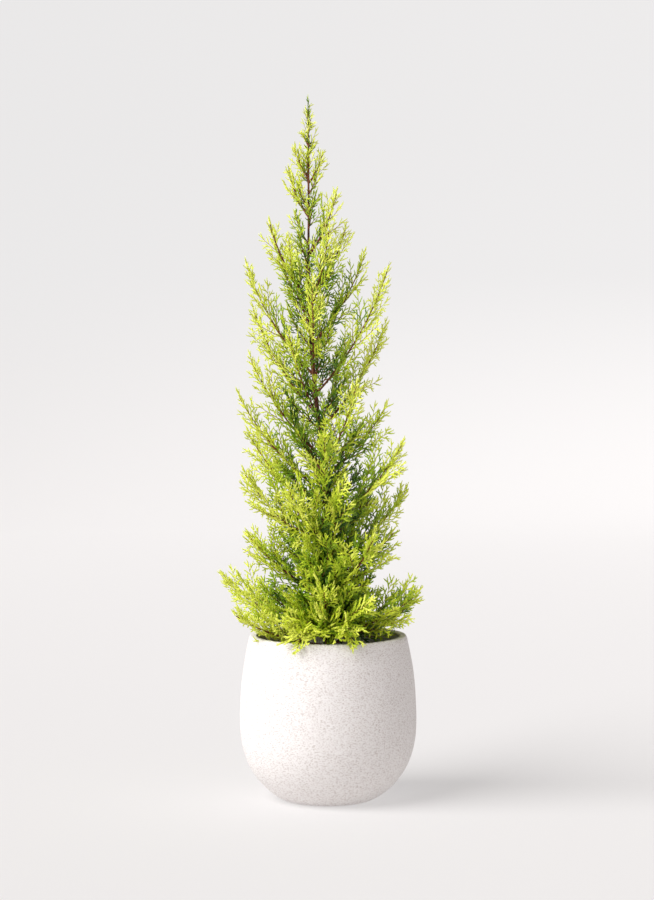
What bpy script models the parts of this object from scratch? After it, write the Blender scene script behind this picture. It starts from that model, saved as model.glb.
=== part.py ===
# Potted goldcrest monterey cypress: a narrow young conifer in a round fibre-stone planter.
# Metres, +Z up. The origin is the centre of the planter's flat underside, and the viewer is at -Y.

import math

import bmesh
import bpy
import numpy as np
from mathutils import Vector

GAP = 0.0003                    # air left between two pieces that touch

# Planter
POT_HEIGHT = 0.288
POT_FOOT_RADIUS = 0.075
POT_BELLY_RADIUS = 0.1545
POT_BELLY_HEIGHT = 0.146
POT_MOUTH_RADIUS = 0.137
POT_WALL = 0.0125
POT_FLOOR = 0.016
POT_RIM_ROUND = 0.003           # radius on both edges of the rim
POT_SWELL = (2.6, 1.32)         # powers of the curve from the foot out to the belly
POT_SEGMENTS = 32
POT_OUTER_STEPS = (7, 3)        # steps below and above the belly
POT_INNER_STEPS = (5, 2)

SOIL_HEIGHT = 0.248             # 40 mm below the rim

# Trunk
TRUNK_TOP = 1.105
TRUNK_BASE_X = 0.003
TRUNK_LEAN = -0.037             # how far the upper trunk stands to the left
TRUNK_LEAN_FROM = 0.40
TRUNK_LEAN_TO = 0.90
TRUNK_SWAY = 0.004              # gentle sway to and from the viewer
TRUNK_BASE_RADIUS = 0.0090
TRUNK_TOP_RADIUS = 0.0016
TRUNK_TAPER = 1.6
TRUNK_FLARE = 0.0055
TRUNK_FLARE_HEIGHT = 0.012
TRUNK_SIDES = 10
TRUNK_RINGS = 13
TRUNK_RING_POWER = 1.5          # sets the rings closer together towards the flare

# Side plumes, from the lowest up: reach of the tip from the planter's axis, height of the tip
LEFT_TIPS = (
    (0.167, 0.338), (0.195, 0.386), (0.146, 0.470), (0.150, 0.584), (0.147, 0.648), (0.161, 0.716),
    (0.138, 0.782), (0.136, 0.866), (0.145, 0.942), (0.103, 1.012), (0.070, 1.105), (0.059, 1.140),
)
RIGHT_TIPS = (
    (0.160, 0.342), (0.164, 0.374), (0.120, 0.474), (0.143, 0.545), (0.132, 0.634), (0.106, 0.695),
    (0.105, 0.838), (0.106, 0.936), (0.066, 0.960), (0.033, 1.005), (0.016, 1.063), (-0.009, 1.130),
)
# Front and back plumes follow these half-widths of the crown round the trunk
CROWN_HEIGHTS = (0.340, 0.600, 0.800, 0.950, 1.050, 1.150)
CROWN_REACHES = (0.158, 0.138, 0.122, 0.112, 0.058, 0.024)
ROUND_TIPS = {"front": (0.385, 0.088, 8), "back": (0.345, 0.092, 8)}   # lowest tip, step, number
ROUND_JITTER = 0.08
# Low plumes that hang over the rim: direction in degrees, reach, height of the tip
HANGING_TIPS = {
    "front": ((249.0, 0.157, 0.266), (286.0, 0.156, 0.274)),
    "back": ((71.0, 0.154, 0.274), (112.0, 0.156, 0.270)),
}
HANGING_CREST = 0.383           # height that a hanging plume's curve bends towards
HANGING_BEND = 0.6              # of the way out where that is
HANGING_FOOT = (0.262, 0.004)   # height of the foot, and of each next one above it
LEADER_TIP = (-0.035, 0.0, 1.223)

SIDE_DIRECTIONS = {"right": 0.0, "back": 90.0, "left": 180.0, "front": 270.0}
SIDE_FOOT_SHIFT = {"right": 0.006, "back": 0.010, "left": 0.002, "front": 0.014}
STAGGER = (0.0, 26.0, -26.0)    # degrees round from the middle of the side, in turn
STAGGER_JITTER = 6.0
LIFT_LOW = (0.340, 33.0)        # tip height, degrees above level from foot to tip
LIFT_HIGH = (1.100, 66.0)
LOWEST_FOOT = 0.266
FOOT_STEP = 0.013               # between the feet of the lowest plumes of one side
CURVE_DROP = 13.0               # degrees by which a plume leaves the trunk flatter than its chord
CURVE_BEND = 0.52               # of the way out where its curve bends up
PLUME_STEPS = 24                # used to measure a plume's length

# Boughs carry the large low plumes, and the tenth on the left, whose bare foot shows
BOUGH_TIP_BELOW = 0.480
BOUGH_SHARE = 0.30              # of the plume's length
BARE_FOOT = ("left", 10)
BOUGH_RADII = (0.0031, 0.0021)  # at its foot and at its tip
BOUGH_SIDES = 5
BOUGH_RINGS = 3

# Twigs and sprays
STEM_RADII = (0.0021, 0.0012)
STEM_RINGS = 3
STEM_END = 0.80                 # share of the plume where the stem ends inside its last spray
TWIG_SPACINGS = (0.032, 0.049)  # on the lowest plumes and on the highest
TWIG_FROM = 0.18                # share of the plume's length that stays bare without a bough
TWIG_AFTER_BOUGH = 0.02         # and past the end of a bough
TWIG_TO = 0.88
TWIG_ROLL = 137.5               # degrees round the stem from one twig to the next
TWIG_ROLL_START = 40.0          # either way, for the first twig of each plume
TWIG_FLATTEN = 0.7              # share left of a twig's slope up or down from its plume
TWIG_OPEN = 34.0                # degrees from the stem
TWIG_OPEN_JITTER = 7.0
TWIG_RISE = 0.14                # upward pull on its direction
TWIG_LONGEST = 0.092
TWIG_SHORTEST = 0.018
TWIG_SHARE = 0.66               # of the length that is left to the plume's tip
TWIG_JITTER = 0.12
TWIG_RADII = (0.0014, 0.0009)
TWIG_SIZES = (1.2, 1.1, 1.0, 0.9, 0.8, 0.7, 0.6, 0.5)   # tried in turn until it keeps to its space
TWIG_TURNS = (0.0, 50.0, -50.0, 90.0)   # degrees about the twig, tried at each size
TWIG_TURN_JITTER = 25.0
FORK_EVERY = 6                  # one twig in so many forks, from the second on
FORK_LEAST = 0.042              # shorter twigs bear one spray and do not fork
FORK_OPEN = 38.0
FORK_WOOD = 0.50                # share of a forked twig that is bare wood
FORK_END_SPRAY = 0.68           # length of each of its sprays, as a share of the twig
FORK_SIDE_SPRAY = 0.60
FORK_SIDE_AT = 0.20
SPRAY_WIDTH = 0.56              # of its length
SPRAY_NECK = (0.0010, 0.0013)   # half-width of the bare root, at its foot and where the teeth begin
SPRAY_BARE = 0.20               # share of the length that is bare
SPRAY_TEETH_END = 0.86          # where the end tooth would have its pair
SPRAY_TAPER = 0.55              # of the width, lost from the first pair of teeth to the last
SPRAY_NOTCH = (0.36, 0.22)      # how far behind its tooth a notch lies, and its width, as shares
SPRAY_RIDGE = 0.80              # how far behind the teeth the blade is thickest, as a share
SPRAY_HALF_THICKNESS = 0.0014
SPRAY_TWO_PAIRS = 0.028         # lengths from which a spray has two and three pairs of teeth
SPRAY_THREE_PAIRS = 0.058
LAST_SPRAY = 0.052              # the spray at a plume's tip, and the most of a short plume it takes
LAST_SPRAY_SHARE = 0.36

# Space that each plume keeps to
AXIS_STEP = 0.004
SPACE_MARGIN = 0.0016
LIMB_CLEARANCE = 0.0030
POT_CLEARANCE = 0.0035
CROWN_SLACK = 0.005
WELDS = (0.00003, 0.00001, 0.0)         # tried in turn to clear slivers off a fused mass

POT_COLOUR = (0.86, 0.84, 0.82, 1.0)
SOIL_COLOUR = (0.055, 0.035, 0.022, 1.0)
TRUNK_COLOUR = (0.115, 0.048, 0.026, 1.0)
BOUGH_COLOUR = (0.190, 0.070, 0.034, 1.0)
FOLIAGE_LOW = (0.130, 0.270, 0.022, 1.0)
FOLIAGE_HIGH = (0.420, 0.600, 0.080, 1.0)


def clear_scene():
    for item in list(bpy.data.objects):
        bpy.data.objects.remove(item, do_unlink=True)


def make_material(name, colour, roughness):
    material = bpy.data.materials.new(name)
    material.use_nodes = True
    shader = material.node_tree.nodes["Principled BSDF"]
    shader.inputs["Base Color"].default_value = colour
    shader.inputs["Roughness"].default_value = roughness
    shader.inputs["Metallic"].default_value = 0.0
    return material


def make_object(name, vertices, faces, collection=None):
    mesh = bpy.data.meshes.new(name)
    mesh.from_pydata([tuple(v) for v in vertices], [], faces)
    mesh.update()
    item = bpy.data.objects.new(name, mesh)
    (collection or bpy.context.scene.collection).objects.link(item)
    return item


def scatter(*keys):
    # A repeatable number from -1 to 1 for each plume, twig and spray
    total = sum(key * weight for key, weight in zip(keys, (12.9898, 78.233, 37.719, 9.151)))
    value = math.sin(total) * 43758.5453
    return 2.0 * (value - math.floor(value)) - 1.0


def ease(value, start, end):
    share = min(max((value - start) / (end - start), 0.0), 1.0)
    return share * share * (3.0 - 2.0 * share)


# Planter and soil

def swelling_profile(floor, foot, belly, mouth, steps):
    # Radius and height from the floor up to the rim, full at the belly
    power, root = POT_SWELL
    points = []
    for step in range(steps[0] + 1):
        angle = math.radians(90.0 * step / steps[0])
        swell = (1.0 - math.cos(angle) ** power) ** (1.0 / root)
        height = floor + (POT_BELLY_HEIGHT - floor) * (1.0 - math.cos(angle))
        points.append((foot + (belly - foot) * swell, height))
    for step in range(1, steps[1] + 1):
        share = step / steps[1]
        height = POT_BELLY_HEIGHT + (POT_HEIGHT - POT_BELLY_HEIGHT) * share
        points.append((belly - (belly - mouth) * share * share, height))
    return points


def turned(name, profile, material):
    # A closed body turned round the Z axis from its half profile
    mesh = bpy.data.meshes.new(name)
    body = bmesh.new()
    ring = [body.verts.new((radius, 0.0, height)) for radius, height in profile]
    edges = [body.edges.new(pair) for pair in zip(ring, ring[1:])]
    bmesh.ops.spin(body, geom=ring + edges, cent=(0, 0, 0), axis=(0, 0, 1),
                   angle=math.tau, steps=POT_SEGMENTS, use_merge=True)
    bmesh.ops.remove_doubles(body, verts=body.verts, dist=1e-6)
    bmesh.ops.recalc_face_normals(body, faces=body.faces)
    body.to_mesh(mesh)
    body.free()
    mesh.shade_smooth()
    mesh.set_sharp_from_angle(angle=math.radians(40))
    mesh.materials.append(material)
    item = bpy.data.objects.new(name, mesh)
    bpy.context.scene.collection.objects.link(item)
    return item


def inner_profile(clearance):
    return swelling_profile(POT_FLOOR + clearance, POT_FOOT_RADIUS - POT_WALL - clearance,
                            POT_BELLY_RADIUS - POT_WALL - clearance,
                            POT_MOUTH_RADIUS - POT_WALL - clearance, POT_INNER_STEPS)


def rim_profile():
    # The rim from its outer edge to its inner edge, with both edges rounded
    points = []
    outer = POT_MOUTH_RADIUS - POT_RIM_ROUND
    inner = POT_MOUTH_RADIUS - POT_WALL + POT_RIM_ROUND
    for centre, first in ((outer, 0.0), (inner, 90.0)):
        for step in (0.0, 45.0, 90.0):
            turn = math.radians(first + step)
            height = POT_HEIGHT - POT_RIM_ROUND + POT_RIM_ROUND * math.sin(turn)
            points.append((centre + POT_RIM_ROUND * math.cos(turn), height))
    return points


def make_pot():
    outer = swelling_profile(0.0, POT_FOOT_RADIUS, POT_BELLY_RADIUS, POT_MOUTH_RADIUS, POT_OUTER_STEPS)[:-1]
    inner = inner_profile(0.0)[:-1]
    profile = [(0.0, 0.0)] + outer + rim_profile() + inner[::-1] + [(0.0, POT_FLOOR)]
    return turned("pot", profile, make_material("fibre stone", POT_COLOUR, 0.85))


def make_soil():
    side = inner_profile(GAP)
    below = [point for point in side if point[1] < SOIL_HEIGHT]
    above = next(point for point in side if point[1] >= SOIL_HEIGHT)
    low = below[-1]
    share = (SOIL_HEIGHT - low[1]) / (above[1] - low[1])
    edge = (low[0] + (above[0] - low[0]) * share, SOIL_HEIGHT)
    profile = [(0.0, POT_FLOOR + GAP)] + below + [edge, (0.0, SOIL_HEIGHT)]
    return turned("potting_soil", profile, make_material("potting soil", SOIL_COLOUR, 0.95))


def pot_radius(height, inside):
    wall = POT_WALL if inside else 0.0
    belly = POT_BELLY_RADIUS - wall
    share = max(height - POT_BELLY_HEIGHT, 0.0) / (POT_HEIGHT - POT_BELLY_HEIGHT)
    return belly - (belly - POT_MOUTH_RADIUS + wall) * share * share


# Trunk, boughs and plume lines

def trunk_point(height):
    x = TRUNK_BASE_X + TRUNK_LEAN * ease(height, TRUNK_LEAN_FROM, TRUNK_LEAN_TO)
    y = TRUNK_SWAY * math.sin(math.tau * (height - SOIL_HEIGHT) / (TRUNK_TOP - SOIL_HEIGHT))
    return Vector((x, y, height))


def trunk_radius(height):
    share = min(max((height - SOIL_HEIGHT) / (TRUNK_TOP - SOIL_HEIGHT), 0.0), 1.0)
    taper = TRUNK_TOP_RADIUS + (TRUNK_BASE_RADIUS - TRUNK_TOP_RADIUS) * (1.0 - share) ** TRUNK_TAPER
    return taper + TRUNK_FLARE * math.exp(-(height - SOIL_HEIGHT) / TRUNK_FLARE_HEIGHT)


def limb_mesh(points, radii, sides, level_rings=False):
    # A tapering limb with flat ends. Level rings keep a standing limb's foot flat
    vertices = []
    side = Vector((1, 0, 0))
    for index, point in enumerate(points):
        ahead = points[min(index + 1, len(points) - 1)] - points[max(index - 1, 0)]
        ahead = Vector((0, 0, 1)) if level_rings else ahead.normalized()
        if index == 0 and abs(ahead.x) > 0.7:
            side = Vector((0, 1, 0))
        side = (side - ahead * side.dot(ahead)).normalized()
        other = ahead.cross(side)
        for corner in range(sides):
            turn = math.tau * corner / sides
            vertices.append(point + radii[index] * (math.cos(turn) * side + math.sin(turn) * other))
    faces = [tuple(reversed(range(sides)))]
    for ring in range(len(points) - 1):
        for corner in range(sides):
            after = (corner + 1) % sides
            low, high = ring * sides, (ring + 1) * sides
            faces.append((low + corner, low + after, high + after, high + corner))
    faces.append(tuple(range(len(vertices) - sides, len(vertices))))
    return vertices, faces


def make_trunk(material):
    foot = SOIL_HEIGHT + GAP
    heights = [foot + (TRUNK_TOP - foot) * (ring / TRUNK_RINGS) ** TRUNK_RING_POWER
               for ring in range(TRUNK_RINGS + 1)]
    points = [trunk_point(height) for height in heights]
    radii = [trunk_radius(height) for height in heights]
    item = make_object("trunk", *limb_mesh(points, radii, TRUNK_SIDES, level_rings=True))
    item.data.shade_smooth()
    item.data.set_sharp_from_angle(angle=math.radians(50))
    item.data.materials.append(material)
    return item


class Plume:
    # One branch of the crown: a curved line from the trunk's axis out to its tip

    def __init__(self, side, number, key, start, bend, tip):
        self.side = side
        self.number = number
        self.key = key
        self.start = start
        self.bend = bend
        self.tip = tip
        flat = Vector((tip.x - start.x, tip.y - start.y, 0.0))
        self.across = Vector((-flat.y, flat.x, 0.0)).normalized() if flat.length > 0.01 else Vector((0, 1, 0))
        line = [self.point(step / PLUME_STEPS) for step in range(PLUME_STEPS + 1)]
        self.length = sum((b - a).length for a, b in zip(line, line[1:]))
        self.has_bough = False
        self.first = 0.0

    def point(self, share):
        rest = 1.0 - share
        return rest * rest * self.start + 2.0 * rest * share * self.bend + share * share * self.tip

    def heading(self, share):
        return ((1.0 - share) * (self.bend - self.start) + share * (self.tip - self.bend)).normalized()


def lift_share(height):
    return min(max((height - LIFT_LOW[0]) / (LIFT_HIGH[0] - LIFT_LOW[0]), 0.0), 1.0)


def side_plume(side, number, key, reach, height):
    turn = STAGGER[number % len(STAGGER)] + STAGGER_JITTER * scatter(key, 1)
    direction = math.radians(SIDE_DIRECTIONS[side] + turn)
    outward = Vector((math.cos(direction), math.sin(direction), 0.0))
    lift = math.radians(LIFT_LOW[1] + (LIFT_HIGH[1] - LIFT_LOW[1]) * lift_share(height))
    lowest = LOWEST_FOOT + SIDE_FOOT_SHIFT[side] + FOOT_STEP * (number - 1)
    foot = height - 0.1
    for _ in range(4):
        start = trunk_point(foot)
        if side in ("left", "right"):
            sign = 1.0 if side == "right" else -1.0
            length = (reach - sign * start.x) / math.cos(math.radians(turn))
        else:
            length = reach
        foot = max(height - length * math.tan(lift), lowest)
    start = trunk_point(foot)
    tip = start + outward * length
    tip.z = height
    chord = math.atan2(height - foot, length)
    base = chord - math.radians(CURVE_DROP)
    reach_to_bend = CURVE_BEND * math.hypot(length, height - foot)
    bend = start + outward * math.cos(base) * reach_to_bend + Vector((0, 0, math.sin(base) * reach_to_bend))
    return Plume(side, number, key, start, bend, tip)


def hanging_plume(side, number, key, direction, reach, height):
    turn = math.radians(direction)
    outward = Vector((math.cos(turn), math.sin(turn), 0.0))
    start = trunk_point(HANGING_FOOT[0] + HANGING_FOOT[1] * (number - 1))
    tip = Vector((outward.x * reach, outward.y * reach, height))
    bend = start.lerp(tip, HANGING_BEND)
    bend.z = HANGING_CREST
    return Plume(side, number, key, start, bend, tip)


def make_plumes():
    plumes = []
    for side, tips in (("left", LEFT_TIPS), ("right", RIGHT_TIPS)):
        for number, (reach, height) in enumerate(tips, 1):
            plumes.append(side_plume(side, number, len(plumes) + 1, reach, height))
    for side, (lowest, step, count) in ROUND_TIPS.items():
        for number, (direction, reach, height) in enumerate(HANGING_TIPS[side], 1):
            plumes.append(hanging_plume(side, number, len(plumes) + 1, direction, reach, height))
        hanging = len(HANGING_TIPS[side])
        for index in range(count):
            height = lowest + step * index
            reach = float(np.interp(height, CROWN_HEIGHTS, CROWN_REACHES))
            reach *= 1.0 + ROUND_JITTER * scatter(len(plumes) + 1, 2)
            plumes.append(side_plume(side, hanging + index + 1, len(plumes) + 1, reach, height))
    tip = Vector(LEADER_TIP)
    start = trunk_point(TRUNK_TOP)
    plumes.append(Plume("leader", 1, len(plumes) + 1, start, start.lerp(tip, 0.5), tip))
    for plume in plumes:
        low = plume.tip.z < BOUGH_TIP_BELOW and plume.bend.z < plume.tip.z
        plume.has_bough = low or (plume.side, plume.number) == BARE_FOOT
    return plumes


def start_share(plume, radius):
    # Share of the plume's line where a limb of this radius stands clear of the trunk
    if plume.side == "leader":
        return GAP / plume.length
    share = 0.0
    while share < 0.5:
        share += 0.0005
        point = plume.point(share)
        heading = plume.heading(share)
        near = point - Vector((heading.x, heading.y, 0.0)).normalized() * radius * heading.z
        near.z = point.z + radius * math.hypot(heading.x, heading.y)
        centre = trunk_point(near.z)
        if math.hypot(near.x - centre.x, near.y - centre.y) > trunk_radius(point.z - radius) + GAP:
            return share
    return share


def make_bough(plume, material):
    start = start_share(plume, BOUGH_RADII[0])
    shares = [start + (BOUGH_SHARE - start) * ring / BOUGH_RINGS for ring in range(BOUGH_RINGS + 1)]
    points = [plume.point(share) for share in shares]
    radii = [BOUGH_RADII[0] + (BOUGH_RADII[1] - BOUGH_RADII[0]) * ring / BOUGH_RINGS
             for ring in range(BOUGH_RINGS + 1)]
    name = f"bough_{plume.side}_{plume.number:02d}"
    item = make_object(name, *limb_mesh(points, radii, BOUGH_SIDES))
    item.data.shade_smooth()
    item.data.set_sharp_from_angle(angle=math.radians(70))
    item.data.materials.append(material)
    plume.first = BOUGH_SHARE + GAP / plume.length
    return item


# Foliage

class Space:
    # Tells whether a point lies in a plume's own space, clear of every limb and of the planter

    def __init__(self, plumes):
        lines = []
        owners = []
        for plume in plumes:
            count = max(int(plume.length / AXIS_STEP), 8)
            for step in range(count + 1):
                lines.append(tuple(plume.point(step / count)))
                owners.append(plume.key)
        self.lines = np.array(lines)
        self.owners = np.array(owners)
        heights = np.arange(SOIL_HEIGHT, TRUNK_TOP, AXIS_STEP)
        self.trunk = np.array([tuple(trunk_point(height)) for height in heights])
        self.trunk_radii = np.array([trunk_radius(height) for height in heights])

    def holds(self, plume, points):
        places = np.array([tuple(point) for point in points])
        apart = np.linalg.norm(places[:, None, :] - self.lines[None, :, :], axis=2)
        own = apart[:, self.owners == plume.key].min(axis=1)
        other = apart[:, self.owners != plume.key].min(axis=1)
        if np.any(own + SPACE_MARGIN > other):
            return False
        if not all(in_crown(place) for place in places):
            return False
        to_trunk = np.linalg.norm(places[:, None, :] - self.trunk[None, :, :], axis=2)
        if np.any(to_trunk < self.trunk_radii + LIMB_CLEARANCE):
            return False
        return all(clear_of_pot(place) for place in places)


def in_crown(place):
    # Inside the crown's outline, which runs from tip to tip on the sides
    x, y, height = place
    side = LEFT_TIPS if x < 0.0 else RIGHT_TIPS
    reach = np.interp(height, [tip[1] for tip in side], [tip[0] for tip in side])
    depth = np.interp(height, CROWN_HEIGHTS, CROWN_REACHES)
    return abs(x) < abs(reach) + CROWN_SLACK and abs(y) < depth + CROWN_SLACK


def clear_of_pot(place):
    radius = math.hypot(place[0], place[1])
    height = place[2]
    if height > POT_HEIGHT + POT_CLEARANCE:
        return True
    if height < SOIL_HEIGHT + POT_CLEARANCE and radius < POT_MOUTH_RADIUS:
        return False
    inside = radius < pot_radius(height, True) - POT_CLEARANCE
    outside = radius > pot_radius(height, False) + POT_CLEARANCE
    return inside or outside


def spray_mesh(root, heading, lateral, length, pairs):
    # A flat toothed spray, thickest along its middle: a bare root, pairs of side teeth, the end tooth
    normal = heading.cross(lateral)
    spread = 0.5 * SPRAY_WIDTH * length
    pitch = (SPRAY_TEETH_END - SPRAY_BARE) / (pairs + 0.6)

    def place(along, across, off=0.0):
        return root + heading * along * length + lateral * across + normal * off

    vertices = [place(0.0, -SPRAY_NECK[0]), place(0.0, SPRAY_NECK[0])]
    left, right = [0], [1]
    ridge = []
    for line, sign in ((left, -1.0), (right, 1.0)):
        line.append(len(vertices))
        vertices.append(place(SPRAY_BARE, sign * SPRAY_NECK[1]))
    for pair in range(pairs):
        tooth = SPRAY_BARE + pitch * (pair + 1.35)
        width = spread * (1.0 - SPRAY_TAPER * pair / pairs)
        ridge.append(tooth - SPRAY_RIDGE * pitch)
        for line, sign in ((left, -1.0), (right, 1.0)):
            line.append(len(vertices))
            vertices.append(place(tooth, sign * width))
            line.append(len(vertices))
            vertices.append(place(tooth - SPRAY_NOTCH[0] * pitch, sign * width * SPRAY_NOTCH[1]))
    tip = len(vertices)
    vertices.append(place(1.0, 0.0))
    faces = []
    for side in (1.0, -1.0):
        middle = range(len(vertices), len(vertices) + pairs)
        vertices += [place(along, 0.0, side * SPRAY_HALF_THICKNESS) for along in ridge]
        sheet = [(left[0], right[0], middle[0])]
        sheet += [(left[1], left[0], middle[0]), (right[0], right[1], middle[0])]
        for pair, point in enumerate(middle):
            near, tooth, notch = 2 * pair + 1, 2 * pair + 2, 2 * pair + 3
            sheet += [(left[tooth], left[near], point), (left[notch], left[tooth], point)]
            sheet += [(right[near], right[tooth], point), (right[tooth], right[notch], point)]
            if pair + 1 < pairs:
                after = middle[pair + 1]
                sheet += [(after, left[notch], point), (right[notch], after, point)]
        sheet += [(tip, left[-1], middle[-1]), (right[-1], tip, middle[-1])]
        faces += sheet if side > 0.0 else [face[::-1] for face in sheet]
    return vertices, faces


def outline_points(piece):
    points = piece[0][2:]
    return points + [(a + b) / 2.0 for a, b in zip(points, points[1:])]


def turned_about(vector, axis, angle):
    return vector * math.cos(angle) + axis.cross(vector) * math.sin(angle)


def pairs_for(length):
    return 1 if length < SPRAY_TWO_PAIRS else 2 if length < SPRAY_THREE_PAIRS else 3


def twig_frame(plume, index, share, turn):
    # Direction, flat side and reach of one side twig
    stem = plume.heading(share)
    lift = plume.across.cross(stem)
    roll = math.radians(TWIG_ROLL * index + TWIG_ROLL_START * scatter(plume.key, 3))
    radial = (math.cos(roll) * plume.across + TWIG_FLATTEN * math.sin(roll) * lift).normalized()
    opened = math.radians(TWIG_OPEN + TWIG_OPEN_JITTER * scatter(plume.key, index, 4))
    heading = math.cos(opened) * stem + math.sin(opened) * radial + Vector((0, 0, TWIG_RISE))
    heading.normalize()
    reach = min(TWIG_LONGEST, TWIG_SHARE * (1.0 - share) * plume.length + TWIG_SHORTEST)
    reach *= 1.0 + TWIG_JITTER * scatter(plume.key, index, 5)
    lateral = (stem - heading * stem.dot(heading)).normalized()
    turn += TWIG_TURN_JITTER * scatter(plume.key, index, 6)
    return heading, turned_about(lateral, heading, math.radians(turn)), reach


def forked_twig(plume, space, root, heading, lateral, span):
    # A three-sided twig with a spray at its end and another on the first side that has room
    length = span * FORK_END_SPRAY
    end = spray_mesh(root + heading * (span - length), heading, lateral, length, pairs_for(length))
    if not space.holds(plume, outline_points(end)):
        return []
    pieces = [limb_mesh([root, root + heading * span * FORK_WOOD], TWIG_RADII, 3), end]
    length = span * FORK_SIDE_SPRAY
    for sign in (1.0, -1.0):
        fork = math.radians(FORK_OPEN)
        aside = math.cos(fork) * heading + math.sin(fork) * sign * lateral
        flat = (lateral - aside * lateral.dot(aside)).normalized()
        part = spray_mesh(root + heading * span * FORK_SIDE_AT, aside, flat, length, pairs_for(length))
        if space.holds(plume, outline_points(part)):
            pieces.append(part)
            break
    return pieces


def twig_pieces(plume, space, index, share):
    # One side twig, as large as its plume's space allows
    root = plume.point(share)
    for size in TWIG_SIZES:
        for turn in TWIG_TURNS:
            heading, lateral, reach = twig_frame(plume, index, share, turn)
            span = reach * size
            if index % FORK_EVERY == 1 and span > FORK_LEAST:
                pieces = forked_twig(plume, space, root, heading, lateral, span)
                if pieces:
                    return pieces
                continue
            spray = spray_mesh(root, heading, lateral, span, pairs_for(span))
            if space.holds(plume, outline_points(spray)):
                return [spray]
    return []


def foliage_pieces(plume, space):
    first = plume.first if plume.has_bough else start_share(plume, STEM_RADII[0])
    shares = [first + (STEM_END - first) * ring / STEM_RINGS for ring in range(STEM_RINGS + 1)]
    points = [plume.point(share) for share in shares]
    radii = [STEM_RADII[0] + (STEM_RADII[1] - STEM_RADII[0]) * ring / STEM_RINGS
             for ring in range(STEM_RINGS + 1)]
    stem = limb_mesh(points, radii, 3)
    share = 1.0 - min(LAST_SPRAY / plume.length, LAST_SPRAY_SHARE)
    root = plume.point(share)
    ahead = plume.tip - root
    pieces = [spray_mesh(root, ahead.normalized(), plume.across, ahead.length, pairs_for(ahead.length))]
    begin = first + TWIG_AFTER_BOUGH if plume.has_bough else max(TWIG_FROM, first)
    spacing = TWIG_SPACINGS[0] + (TWIG_SPACINGS[1] - TWIG_SPACINGS[0]) * lift_share(plume.tip.z)
    count = max(round((TWIG_TO - begin) * plume.length / spacing), 2)
    for index in range(count):
        pieces += twig_pieces(plume, space, index, begin + (TWIG_TO - begin) * index / count)
    return stem, pieces


def largest_body(mesh, weld):
    # Keeps the largest closed body: the others are loose scraps and the walls of sealed hollows
    body = bmesh.new()
    body.from_mesh(mesh)
    if weld > 0.0:
        bmesh.ops.remove_doubles(body, verts=body.verts, dist=weld)
        bmesh.ops.dissolve_degenerate(body, edges=body.edges, dist=weld)
    bmesh.ops.triangulate(body, faces=body.faces)
    groups = []
    waiting = set(body.faces)
    while waiting:
        group = [waiting.pop()]
        for face in group:
            for edge in face.edges:
                for neighbour in edge.link_faces:
                    if neighbour in waiting:
                        waiting.remove(neighbour)
                        group.append(neighbour)
        groups.append(group)
    groups.sort(key=len)
    scraps = [face for group in groups[:-1] for face in group]
    if scraps:
        bmesh.ops.delete(body, geom=scraps, context="FACES")
    closed = all(len(edge.link_faces) == 2 for edge in body.edges)
    if closed:
        body.to_mesh(mesh)
    body.free()
    return closed


def fuse(name, stem, pieces):
    # Joins the stem and its twigs and sprays into one closed body
    for solver, count in (("EXACT", len(pieces)), ("MANIFOLD", len(pieces)), ("EXACT", len(pieces) - 2)):
        item = make_object(name, *stem)
        parts = bpy.data.collections.new(name + "_pieces")
        bpy.context.scene.collection.children.link(parts)
        for number, piece in enumerate(pieces[:count]):
            make_object(f"{name}_piece_{number:02d}", *piece, collection=parts)
        union = item.modifiers.new("union", "BOOLEAN")
        union.operation = "UNION"
        union.operand_type = "COLLECTION"
        union.collection = parts
        union.solver = solver
        bpy.context.view_layer.update()
        evaluated = item.evaluated_get(bpy.context.evaluated_depsgraph_get())
        joined = bpy.data.meshes.new_from_object(evaluated)
        item.modifiers.remove(union)
        item.data = joined
        for part in list(parts.objects):
            bpy.data.objects.remove(part, do_unlink=True)
        bpy.data.collections.remove(parts)
        if any(largest_body(joined, weld) for weld in WELDS):
            return item
        bpy.data.objects.remove(item, do_unlink=True)
    raise RuntimeError(f"{name} did not close")


def foliage_colour(height):
    share = min(max((height - SOIL_HEIGHT) / (LEADER_TIP[2] - SOIL_HEIGHT), 0.0), 1.0)
    return tuple(low + (high - low) * share for low, high in zip(FOLIAGE_LOW, FOLIAGE_HIGH))


def make_foliage(plume, space):
    name = f"foliage_{plume.side}_{plume.number:02d}"
    item = fuse(name, *foliage_pieces(plume, space))
    item.data.materials.clear()
    item.data.materials.append(make_material(name, foliage_colour(plume.tip.z), 0.6))
    return item


def main():
    clear_scene()
    make_pot()
    make_soil()
    make_trunk(make_material("trunk bark", TRUNK_COLOUR, 0.85))
    plumes = make_plumes()
    bark = make_material("bough bark", BOUGH_COLOUR, 0.8)
    for plume in plumes:
        if plume.has_bough:
            make_bough(plume, bark)
    space = Space(plumes)
    for plume in plumes:
        make_foliage(plume, space)


main()
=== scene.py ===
import math

import bpy
import numpy as np
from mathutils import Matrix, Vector, noise
from mathutils.kdtree import KDTree


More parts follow.
